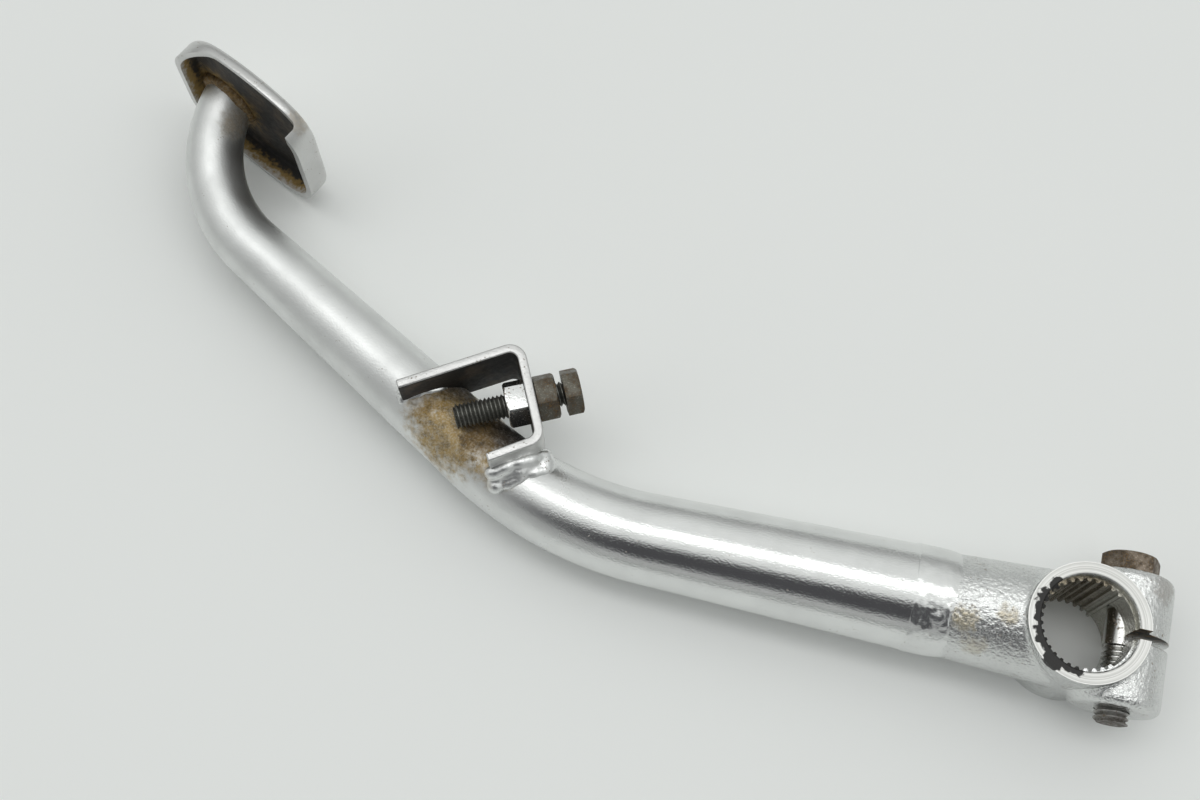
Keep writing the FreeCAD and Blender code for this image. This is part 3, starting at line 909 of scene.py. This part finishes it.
def grime_and_shade_finish(name):
    """Black dirt and rust over the plate, brown round its weld; deep in the pan the near-black is also
    painted shade, which lightens towards the pan's free edge.
    """
    made, shader, at = surface(name)
    fine = cloudy(at, 900.0, 6.0)
    cloud = step_up(cloudy(at, 150.0, 8.0, 0.6), 0.45, 0.7)
    # Near-black grime and dark rust; inside the pan this is also painted shade.
    skin = mixed(cloud, rgba("grime_and_shade"), rgba("dark_rust"))
    pan = pad_frame()
    from_plate = vector_sum("SUBTRACT", at, pan.translation)["Vector"]
    depth = vector_sum("DOT_PRODUCT", from_plate, -pan.col[2].to_3d())["Value"]
    depth = maths("ADD", depth, times(maths("SUBTRACT", fine, 0.5), 0.005))
    in_pan = step_up(parts_of(at)[0], -0.19, -0.195)
    # Painted shade with rust: from the plate towards the free edge the pan's inside lightens from near-black
    # to brown, then to grey plate.
    for start, end, strength, stain in ((1.5, 3.5, 0.9, "gold_stain"), (3.5, 5.5, 0.75, "weld_grey")):
        share = times(step_up(depth, start * MM, end * MM), in_pan)
        skin = mixed(times(share, strength), skin, rgba(stain))
    round_weld = times(ragged_spot(at, pad_seat()[0], 0.016, 0.5), 0.9)
    feed(shader, {
        "Base Color": mixed(round_weld, skin, rgba("gold_stain")),
        "Roughness": between(fine, 0.45, 0.85),
        "Normal": relief(fine, 0.4, 0.0003),
    })
    return made


PLATES = {
    "cast_chrome": dict(
        base="cast_chrome", rough=(0.13, 0.13), fineness=1100.0, grain=1.0, specks=0.36, depth=0.0004,
        spots=(
            ((-27, -5, 25), 5, 0.45, "pale_rust"), ((-18, -2, 26), 4, 0.4, "pale_rust"),
            ((-24, -10, 22), 5, 0.25, "pale_rust"), ((17, 13, 22), 6, 0.3, "rust"),
        ),
    ),
    "tube_chrome": dict(
        base="chrome", rough=(0.13, 0.44), fineness=2200.0, grain=0.3, specks=0.22, ragged=0.5,
        spots=(
            ((-152, 15, 20), 19, 0.9, "gold_film"), ((-160, 20, 18), 10, 0.6, "gold_stain"),
            ((-145, 14, 19), 11, 0.75, "rust"), ((-140, 6, 22), 9, 0.6, "gold_film"),
            ((-138, 15, 18), 9, 0.95, "dark_rust"), ((-155, 23, 17), 7, 0.8, "dark_rust"),
            ((-226, 79, 22), 7, 0.5, "gold_stain"),
        ),
    ),
    "seam_chrome": dict(base="chrome", rough=(0.2, 0.2), fineness=2400.0, grain=0.25, specks=0.3),
    "weld_chrome": dict(
        base="chrome", rough=(0.32, 0.32), fineness=1500.0, grain=0.35, specks=0.35, ragged=0.5,
        spots=(
            ((-146, 2, 20), 9, 0.5, "gold_stain"), ((-231, 87, 20), 24, 0.95, "gold_stain"),
            ((-231, 87, 20), 24, 0.7, "rust"),
        ),
    ),
    "strip_chrome": dict(
        base="weld_grey", rough=(0.34, 0.34), fineness=1800.0, grain=0.4, specks=0.34,
        spots=(((-137, 12, 17), 8, 0.4, "gold_stain"), ((-166, 20, 20), 5, 0.4, "gold_stain")),
    ),
    "pan_chrome": dict(
        base="weld_grey", rough=(0.3, 0.3), fineness=1500.0, grain=0.4, specks=0.34,
        spots=(((-206, 76, 38), 5, 0.35, "gold_stain"),),
    ),
    "nut_chrome": dict(
        base="chrome", rough=(0.24, 0.24), fineness=1500.0, grain=0.3, specks=0.5,
        spots=(((-139, 22, 19), 4.5, 0.9, "grime_and_shade"),),
    ),
    "bare_steel": dict(
        base="bare_steel", rough=(0.22, 0.22), fineness=1500.0, grain=0.1, specks=0.5, ragged=0.3,
        spots=(((11, -20, 14), 9, 0.95, "dark_rust"),),
    ),
}
RUSTED = {
    "rusty_head": dict(base="brown_steel", share=0.6),
    "rusty_bolt": dict(base="worn_steel", share=0.5),
    "dark_thread": dict(base="thread_steel", share=0.1),
}


def finish_of(name):
    """A finish by name, made the first time that it is asked for."""
    if name in bpy.data.materials:
        return bpy.data.materials[name]
    if "specks" not in bpy.data.node_groups:
        speckle_group()
        spot_group()
    if name in RUSTED:
        return rusty_finish(name, **RUSTED[name])
    if name not in PLATES:
        return grime_and_shade_finish(name)
    made = plated(name, **PLATES[name])
    if name == "cast_chrome":
        machine_hub(made)
    return made


# Pieces

class PEDAL_OT_tube(bpy.types.Operator):
    """Build the bent conical tube"""
    bl_idname = "pedal.tube"
    bl_label = "Tube"

    def execute(self, context):
        bm = made_by(loft, tube_rings(), ROUND_SIDES)
        seat = pad_frame()
        reach = 2 * settings().pedal_tube.toe_to_pad
        plate = pad_seat()[0]
        near = [part for part in every(bm)
                if all((v.co - plate).length < reach for v in getattr(part, "verts", [part]))]
        slice_off(bm, near, seat.translation, seat.col[2].to_3d())
        close_holes(bm)
        dress(to_object(bm, "tube_skin"), "pedal", ("tube_chrome",), "pedal_tube")
        return {"FINISHED"}


def spline_outline(hub):
    """The bore's outline with its teeth; the lug side is plain."""
    tip = hub.tooth_tip / 2
    root = hub.tooth_root / 2
    pitch = FULL_TURN / hub.teeth
    half_tip = pitch * 0.15
    half_root = pitch * 0.33
    points = []
    for k in range(hub.teeth):
        middle = k * pitch
        off = abs((middle + math.pi) % FULL_TURN - math.pi)
        if off <= hub.plain_sector / 2 + half_root:
            points += [heading(middle + pitch * (j / 4 - 0.5)) * root for j in range(4)]
            continue
        for turn, radius in ((-half_root, root), (-half_tip, tip), (half_tip, tip), (half_root, root)):
            points.append(heading(middle + turn) * radius)
    return points


def pinch_seat(hub):
    """The middle of the lug's face under the pinch bolt's head."""
    return Vector((hub.pinch_offset, hub.lug_span / 2, hub.height / 2))


def hub_blank(hub):
    """The forging before its bore: boss, neck and lugs run together, with both faces cut flat."""
    bm = bmesh.new()
    spare = 0.003
    rod(bm, UP * -spare, UP * (hub.height + spare), hub.diameter / 2, FINE_SIDES)
    middle, way = arm_axis()
    sections = ((0, hub.neck_root / 2), (hub.neck_length + 0.001, hub.neck / 2))
    loft(bm, [(middle + way * run, way, radius) for run, radius in sections], ROUND_SIDES)
    side = pinch_seat(hub)
    lug = made_by(rod, side * Vector((1, -1, 1)), side, hub.lug_radius, ROUND_SIDES)
    rims = [e for e in lug.edges if abs(e.verts[0].co.y - e.verts[1].co.y) < NEARLY]
    soften_edges(lug, rims, width=0.002, segments=4)
    add_mesh(bm, lug)
    piece = to_object(bm, "hub_forging")
    melt(piece, voxel=0.00045, rounds=14)
    with reopened(piece) as bm:
        for height, way in ((hub.height, UP), (0, -UP)):
            slice_off(bm, every(bm), UP * height, way)
            close_holes(bm)
        bmesh.ops.recalc_face_normals(bm, faces=bm.faces)
    return piece


class PEDAL_OT_hub(bpy.types.Operator):
    """Build the clamp hub with its serrated bore, and the pinch bolt"""
    bl_idname = "pedal.hub"
    bl_label = "Hub and pinch bolt"

    def execute(self, context):
        hub = settings().pedal_hub
        piece = hub_blank(hub)
        spare = 0.002
        combine(piece, prism, [p - UP * spare for p in spline_outline(hub)], UP * (hub.height + 2 * spare))
        break_edge = 0.0003
        mouth = hub.mouth / 2
        deep = hub.height - hub.mouth_depth
        profile = ((0, deep), (mouth, deep), (mouth, hub.height - break_edge),
                   (mouth + break_edge, hub.height), (mouth + break_edge, hub.height + spare),
                   (0, hub.height + spare))
        combine(piece, turned, profile, FINE_SIDES)
        past_lugs = 0.05
        combine(piece, box, (0, -hub.slit / 2, -spare), (past_lugs, hub.slit / 2, hub.height + spare))
        seat = pinch_seat(hub)
        along = Vector((0, 1, 0))
        far_end = seat - along * (hub.lug_span + spare)
        combine(piece, rod, seat + along * spare, far_end, hub.pinch / 2 + BOLT_SLACK)
        dress(piece, "pedal", ("cast_chrome",), "clamp_hub")

        place_it = axes(seat, UP, along)
        bolt = hexagon("pinch_bolt_hex", hub.pinch_flats, hub.pinch_head, place_it, wear=0.0004)
        bm = made_by(rod, seat, seat - along * hub.pinch_shank, hub.pinch / 2)
        radius = hub.pinch / 2 - THREAD_SLACK
        thread(bm, radius, hub.pinch_pitch, -hub.pinch_length, -hub.pinch_shank, place_it)
        join(bolt, bm)
        dress(bolt, "pedal", ("rusty_head", "bare_steel"), "pinch_bolt")
        return {"FINISHED"}


class PEDAL_OT_hub_weld(bpy.types.Operator):
    """Build the wide dressed weld between the neck and the tube"""
    bl_idname = "pedal.hub_weld"
    bl_label = "Hub weld"

    def execute(self, context):
        hub = settings().pedal_hub
        tube = settings().pedal_tube
        middle, way = arm_axis()
        crown = tube.hub_end / 2 + tube.weld_crown
        first = hub.neck_length - 0.0015
        last = tube.start + 0.0002
        count = 48
        neck_part = 0.45
        seam_part = 0.06
        seam_depth = 0.00025
        rings = []
        for k in range(count + 1):
            share = k / count
            onto_neck = max(0.0, 1 - share / neck_part) ** 2 * (crown - hub.neck / 2)
            seam = seam_depth * max(0.0, 1 - (1 - share) / seam_part) ** 2
            rings.append((middle + way * (first + (last - first) * share), way, crown - onto_neck - seam))
        sides = 160
        weld = to_object(made_by(loft, rings, sides), "neck_bead")
        roughen(weld, depth=0.0004, grain=0.0028, seed=4.0, side=Vector((0, -0.6, 0.8)))
        dress(weld, "pedal", ("seam_chrome",), "hub_weld")
        return {"FINISHED"}


def pad_outline(pad):
    """The pad's outline: two bowed sides, two straight ends, four round corners."""
    half = pad.length / 2
    bow = (half ** 2 + pad.bulge ** 2) / (2 * pad.bulge)
    centre = pad.width / 2 - bow
    quarters = []
    for end, corner in ((1, pad.inner_corner), (-1, pad.outer_corner)):
        inset = half - corner
        rise = centre + math.sqrt((bow - corner) ** 2 - inset ** 2)
        lean = math.atan2(rise - centre, inset)
        rest = math.pi / 2 - lean
        points = [Vector((inset, rise, 0)) + heading(lean * k / 14) * corner for k in range(15)]
        points += [Vector((0, centre, 0)) + heading(lean + rest * k / 8) * bow for k in range(1, 9)]
        quarters.append([Vector((end * p.x, p.y, 0)) for p in points])
    upper = quarters[0] + quarters[1][-2::-1]
    lower = [Vector((p.x, -p.y, 0)) for p in reversed(upper)]
    return upper + lower


def lip_tool(bm, pad):
    """What is cut out of the pan's upper lip: a step at one end and a slope at the other."""
    rim_level = pad.sheet - pad.depth
    cut_level = pad.sheet - pad.upper_lip
    outer = pad.lip_outer - pad.length / 2
    inner = pad.length / 2 - pad.lip_inner
    side = ((outer, 2 * rim_level), (outer, rim_level), (outer + pad.lip_slope, cut_level),
            (inner, cut_level), (inner, 2 * rim_level))
    prism(bm, [(x, 0, z) for x, z in side], (0, -pad.width, 0))
    steps = [e for e in bm.edges if all(abs(v.co.z - cut_level) < SAME_PLACE for v in e.verts)
             and abs(e.verts[0].co.x - e.verts[1].co.x) < SAME_PLACE]
    soften_edges(bm, steps, width=0.0015, segments=6)


def pad_pan(pad):
    """The pressed pan in its own frame."""
    rim_level = pad.sheet - pad.depth
    bm = made_by(prism, [p + UP * rim_level for p in pad_outline(pad)], UP * pad.depth)
    fold = [e for e in bm.edges if all(v.co.z > pad.sheet - NEARLY for v in e.verts)]
    soften_edges(bm, fold, pad.edge, segments=8)
    bmesh.ops.recalc_face_normals(bm, faces=bm.faces)
    low = [f for f in bm.faces if all(v.co.z < rim_level + NEARLY for v in f.verts)]
    bmesh.ops.delete(bm, geom=low, context="FACES_ONLY")
    pan = to_object(bm, "pad_pan")
    thicken(pan, pad.sheet, "pan_chrome", "pan_inside")
    combine(pan, lip_tool, pad)
    round_edges(pan, width=0.0003, limit=40)
    return pan


class PEDAL_OT_pad(bpy.types.Operator):
    """Build the pressed foot pad and the weld that holds it"""
    bl_idname = "pedal.pad"
    bl_label = "Foot pad"

    def execute(self, context):
        pad = settings().pedal_pad
        place_it = pad_frame()
        pan = pad_pan(pad)
        pan.data.transform(place_it)
        dress(pan, "pedal", ("pan_chrome", "pan_inside"), "foot_pad")

        out = place_it.col[2].to_3d()
        inset = 0.0003
        centre = axes(pad_seat()[0] - out * inset, place_it.col[0].to_3d(), out)
        reach = settings().pedal_tube.pad_end / 2 + inset
        count = 34
        points = [centre @ (heading(FULL_TURN * k / count) * reach) for k in range(count)]
        waves = [1.15 + 0.12 * math.sin(0.7 * k) + 0.08 * math.sin(1.3 * k) for k in range(count)]
        weld = bead("pad_bead", points, [pad.weld * wave for wave in waves], voxel=0.0002, rounds=4)
        with reopened(weld) as bm:
            slice_off(bm, every(bm), place_it.translation, out)
            close_holes(bm)
        dress(weld, "pedal", ("weld_chrome",), "pad_weld")
        return {"FINISHED"}


def strip_sheet(stop, corners):
    """The bracket strip's outer face as an open sheet, folded twice."""
    turn = stop.bend + stop.thickness
    path = [corners[0]]
    for before, corner, after in zip(corners, corners[1:], corners[2:]):
        path += [point for point, _ in bend(corner, before, after, turn, 10)]
    path.append(corners[3])
    bm = bmesh.new()
    low = path[0] + UP * (stop.top - stop.width)
    edge = bm.edges.new((bm.verts.new(low), bm.verts.new(low + UP * stop.width)))
    for here, there in zip(path, path[1:]):
        ends = new_verts(bmesh.ops.extrude_edge_only(bm, edges=[edge]))
        bmesh.ops.translate(bm, verts=ends, vec=there - here)
        edge = bm.edges.get(ends)
    bmesh.ops.recalc_face_normals(bm, faces=bm.faces)
    if next(iter(bm.faces)).normal.dot(UP.cross(corners[1] - corners[0])) < 0:
        bmesh.ops.reverse_faces(bm, faces=bm.faces)
    return to_object(bm, "bracket_strip", closed=False)


def toe_run(name, toe, fold, radius, share):
    """A bead of three wavy rows in the corner between the tube and one toe of the bracket."""
    rings = tube_rings()
    count = 40
    aside = (fold - toe).cross(UP).normalized()
    points = [tube_top(toe + aside * radius * 0.9, rings)]
    radii = [radius * 0.62]
    for row, (out, lift) in enumerate(((0.15, 0.5), (0.6, 0.05), (1.0, -0.2))):
        for k in range(count):
            wave = math.sin(0.31 * k + 2.1 * row) + 0.5 * math.sin(0.7 * k + row)
            seam = toe.lerp(fold, share * k / (count - 1)) + aside * radius * (out + 0.05 * wave)
            points.append(tube_top(seam, rings) + UP * radius * lift)
            radii.append(radius * (0.5 + 0.025 * wave))
    return bead(name, points, radii, voxel=0.0003, rounds=9)


class PEDAL_OT_bracket(bpy.types.Operator):
    """Build the folded stop bracket and its two beads"""
    bl_idname = "pedal.bracket"
    bl_label = "Stop bracket"

    def execute(self, context):
        stop = settings().pedal_stop
        corners = strip_corners()
        strip = strip_sheet(stop, corners)
        thicken(strip, stop.thickness, "strip_chrome", "strip_inside")
        round_edges(strip, width=0.0004, limit=40)
        crossing = stop_crossing()
        hole = stop.bolt / 2 + 3 * BOLT_SLACK
        combine(strip, rod, crossing + BOLT_OUT * 0.003, crossing - BOLT_OUT * 0.006, hole)
        combine(strip, loft, tube_rings(), ROUND_SIDES)
        dress(strip, "pedal", ("strip_chrome", "strip_inside"), "stop_bracket")
        for name, node_name, toe, fold, radius, share in (
            ("tab_bead", "bracket_weld", corners[3], corners[2], stop.bead, 0.95),
            ("toe_bead", "toe_weld", corners[0], corners[1], stop.toe_bead, 0.33),
        ):
            weld = toe_run(name, toe, fold, radius, share)
            dress(weld, "pedal", ("weld_chrome",), node_name)
        return {"FINISHED"}


class PEDAL_OT_stop(bpy.types.Operator):
    """Build the stop bolt, its lock nut and the nut welded inside the bracket"""
    bl_idname = "pedal.stop"
    bl_label = "Stop bolt and nuts"

    def execute(self, context):
        stop = settings().pedal_stop
        wear = 0.0003
        crossing = stop_crossing()
        under_head = stop.nut_clearance + stop.nut + stop.gap
        bolt_place = axes(crossing + BOLT_OUT * under_head, UP, BOLT_OUT)
        bolt = hexagon("stop_screw", stop.flats, stop.head, bolt_place, wear)
        radius = stop.bolt / 2 - THREAD_SLACK
        into_head = 0.0003
        join(bolt, made_by(thread, radius, stop.pitch, -stop.bolt_length, into_head, bolt_place))
        dress(bolt, "stop_bolt", ("rusty_bolt", "dark_thread"), "stop_bolt")
        for name, body, slot, finish, node_name, seat in (
            ("lock_nut_hex", "lock_nut", "plated_nut", "rusty_bolt", "lock_nut",
             axes(crossing + BOLT_OUT * stop.nut_clearance, UP, BOLT_OUT)),
            ("weld_nut_hex", "pedal", "plated_nut", "nut_chrome", "weld_nut",
             axes(crossing - BOLT_OUT * stop.thickness, UP, -BOLT_OUT)),
        ):
            nut = hexagon(name, stop.flats, stop.nut, seat, wear)
            middle = seat.translation
            through = seat.col[2].to_3d() * stop.nut
            combine(nut, rod, middle - through, middle + through * 2, stop.bolt / 2 + THREAD_SLACK)
            dress(nut, body, (finish,), node_name)
        return {"FINISHED"}


# Stage

def aim(carrier, at, way):
    """Puts a lamp or a camera in its place and points it."""
    carrier.location = at
    carrier.rotation_euler = Vector(way).to_track_quat("-Z", "Y").to_euler()


def lay_floor(scene):
    """A pale table under the part."""
    bm = bmesh.new()
    bmesh.ops.create_grid(bm, x_segments=1, y_segments=1, size=scene.pedal_stage.floor)
    floor_piece = to_object(bm, "table_top", closed=False)
    made, shader, at = surface("table_paint")
    tone = mixed(cloudy(at, 6.0, 3.0), rgba("floor"), rgba("floor", 0.985))
    feed(shader, {"Base Color": tone, "Roughness": 0.7})
    floor_piece.data.materials.append(made)


def hang_lamp(scene):
    """One long soft lamp overhead, which the arm mirrors as a bright line."""
    stage = scene.pedal_stage
    lamp = bpy.data.lights.new("ceiling", "AREA")
    lamp.shape = "RECTANGLE"
    lamp.size = stage.lamp_length
    lamp.size_y = stage.lamp_width
    lamp.energy = stage.lamp_power
    aim(to_scene("ceiling", lamp), stage.lamp, stage.lamp_aim)


def light_room(scene):
    """A room that is lighter overhead, with a dark part for the arm to mirror and a plain backdrop."""
    stage = scene.pedal_stage
    world = bpy.data.worlds.new("studio")
    scene.world = world
    world.use_nodes = True
    tree = world.node_tree
    tree.nodes.clear()
    way = tree.nodes.new("ShaderNodeTexCoord").outputs["Generated"]
    height = step_up(parts_of(way)[2], 0.0, 0.8)
    room = mixed(height, (*stage.room_low, 1), (*stage.room_high, 1))
    shade_middle = (0.0, -0.70, 0.70)
    drawn_wide = vector_sum("MULTIPLY", way, (0.5, 1, 1))["Vector"]
    apart = vector_sum("DISTANCE", drawn_wide, shade_middle)["Value"]
    room = mixed(step_up(apart, 0.46, 0.30), room, (*stage.room_shade, 1))
    rays = tree.nodes.new("ShaderNodeLightPath").outputs
    seen = mixed(rays["Is Camera Ray"], room, (*stage.backdrop, 1))
    back = node(tree, "ShaderNodeBackground", {"Color": seen, "Strength": 1.0})
    tree.links.new(back.outputs[0], tree.nodes.new("ShaderNodeOutputWorld").inputs[0])


def set_camera(scene):
    """The camera, as it stood for the photograph."""
    stage = scene.pedal_stage
    view = bpy.data.cameras.new("view")
    view.lens = stage.lens
    view.sensor_width = 36
    scene.camera = to_scene("view", view)
    aim(scene.camera, stage.eye, stage.look)
    scene.view_settings.view_transform = "Standard"


class PEDAL_OT_stage(bpy.types.Operator):
    """Set up the floor, the light and the camera"""
    bl_idname = "pedal.stage"
    bl_label = "Stage"

    def execute(self, context):
        for step in (lay_floor, hang_lamp, light_room, set_camera):
            step(context.scene)
        return {"FINISHED"}


class PEDAL_PT_panel(bpy.types.Panel):
    """Lists the steps and the sizes"""
    bl_idname = "PEDAL_PT_panel"
    bl_label = "Brake Pedal"
    bl_space_type = "VIEW_3D"
    bl_region_type = "UI"
    bl_category = "Pedal"

    def draw(self, context):
        for operator in OPERATORS:
            self.layout.operator(operator.bl_idname)
        for name, group in GROUPS:
            shelf = self.layout.box()
            shelf.label(text=group.__doc__)
            for key in group.__annotations__:
                shelf.prop(getattr(context.scene, name), key)


OPERATORS = (PEDAL_OT_tube, PEDAL_OT_hub, PEDAL_OT_hub_weld, PEDAL_OT_pad, PEDAL_OT_bracket, PEDAL_OT_stop,
             PEDAL_OT_stage)
GROUPS = (("pedal_hub", PEDAL_PG_hub), ("pedal_tube", PEDAL_PG_tube), ("pedal_pad", PEDAL_PG_pad),
          ("pedal_stop", PEDAL_PG_stop), ("pedal_finish", PEDAL_PG_finish), ("pedal_stage", PEDAL_PG_stage))


def register():
    """Adds the settings, the steps and the panel."""
    for name, group in GROUPS:
        bpy.utils.register_class(group)
        setattr(bpy.types.Scene, name, PointerProperty(type=group))
    for made in OPERATORS + (PEDAL_PT_panel,):
        bpy.utils.register_class(made)


def unregister():
    """Takes them out again."""
    for made in reversed(OPERATORS + (PEDAL_PT_panel,)):
        bpy.utils.unregister_class(made)
    for name, group in reversed(GROUPS):
        delattr(bpy.types.Scene, name)
        bpy.utils.unregister_class(group)


def main():
    """Registers the add-on and runs every step in order."""
    register()
    bpy.ops.pedal.tube()
    bpy.ops.pedal.hub()
    bpy.ops.pedal.hub_weld()
    bpy.ops.pedal.pad()
    bpy.ops.pedal.bracket()
    bpy.ops.pedal.stop()
    bpy.ops.pedal.stage()


if __name__ == "__main__":
    main()
